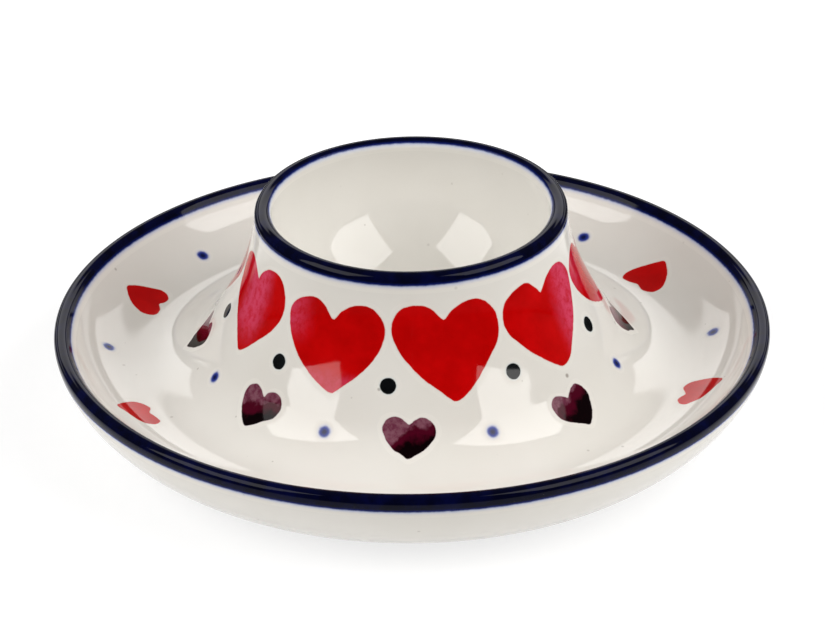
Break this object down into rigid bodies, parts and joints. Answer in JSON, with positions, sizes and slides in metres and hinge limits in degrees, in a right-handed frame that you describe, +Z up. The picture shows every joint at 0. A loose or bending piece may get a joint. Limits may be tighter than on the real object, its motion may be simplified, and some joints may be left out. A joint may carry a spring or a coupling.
{
  "type": "egg cup",
  "caption": "Stoneware egg cup standing in its own catch saucer, with a flared collar, a round egg well, navy rims and painted hearts and dots.",
  "frame": {"origin": "centre of the face that the foot ring stands on", "axes": "+Z up along the axis of the cup, -Y towards the front"},
  "size_m": [0.1308, 0.1308, 0.043],
  "materials": {
    "glaze": "clear glossy glaze over a warm cream-white stoneware body, with fine iron specks",
    "bare_clay": "unglazed, finely sanded fired clay",
    "navy_paint": "deep cobalt band under a glossy glaze, bleeding blue at its edges",
    "red_paint": "mottled sponge-stamped red under a glossy glaze",
    "plum_paint": "mottled plum, near black at one side, under a glossy glaze",
    "black_paint": "black with a faint blue-green halo under a glossy glaze",
    "blue_paint": "cobalt blue with soft edges under a glossy glaze"
  },
  "bodies": {
    "root": {"saucer": "glaze", "foot_ring": "bare_clay", "cup_collar": "glaze", "egg_bowl": "glaze", "saucer_rim_band": "navy_paint", "cup_rim_band": "navy_paint", "collar_hearts": "red_paint", "black_dots": "black_paint", "plum_hearts": "plum_paint", "foot_dots": "blue_paint", "rim_hearts": "red_paint", "rim_dots": "blue_paint"}
  },
  "joints": []
}
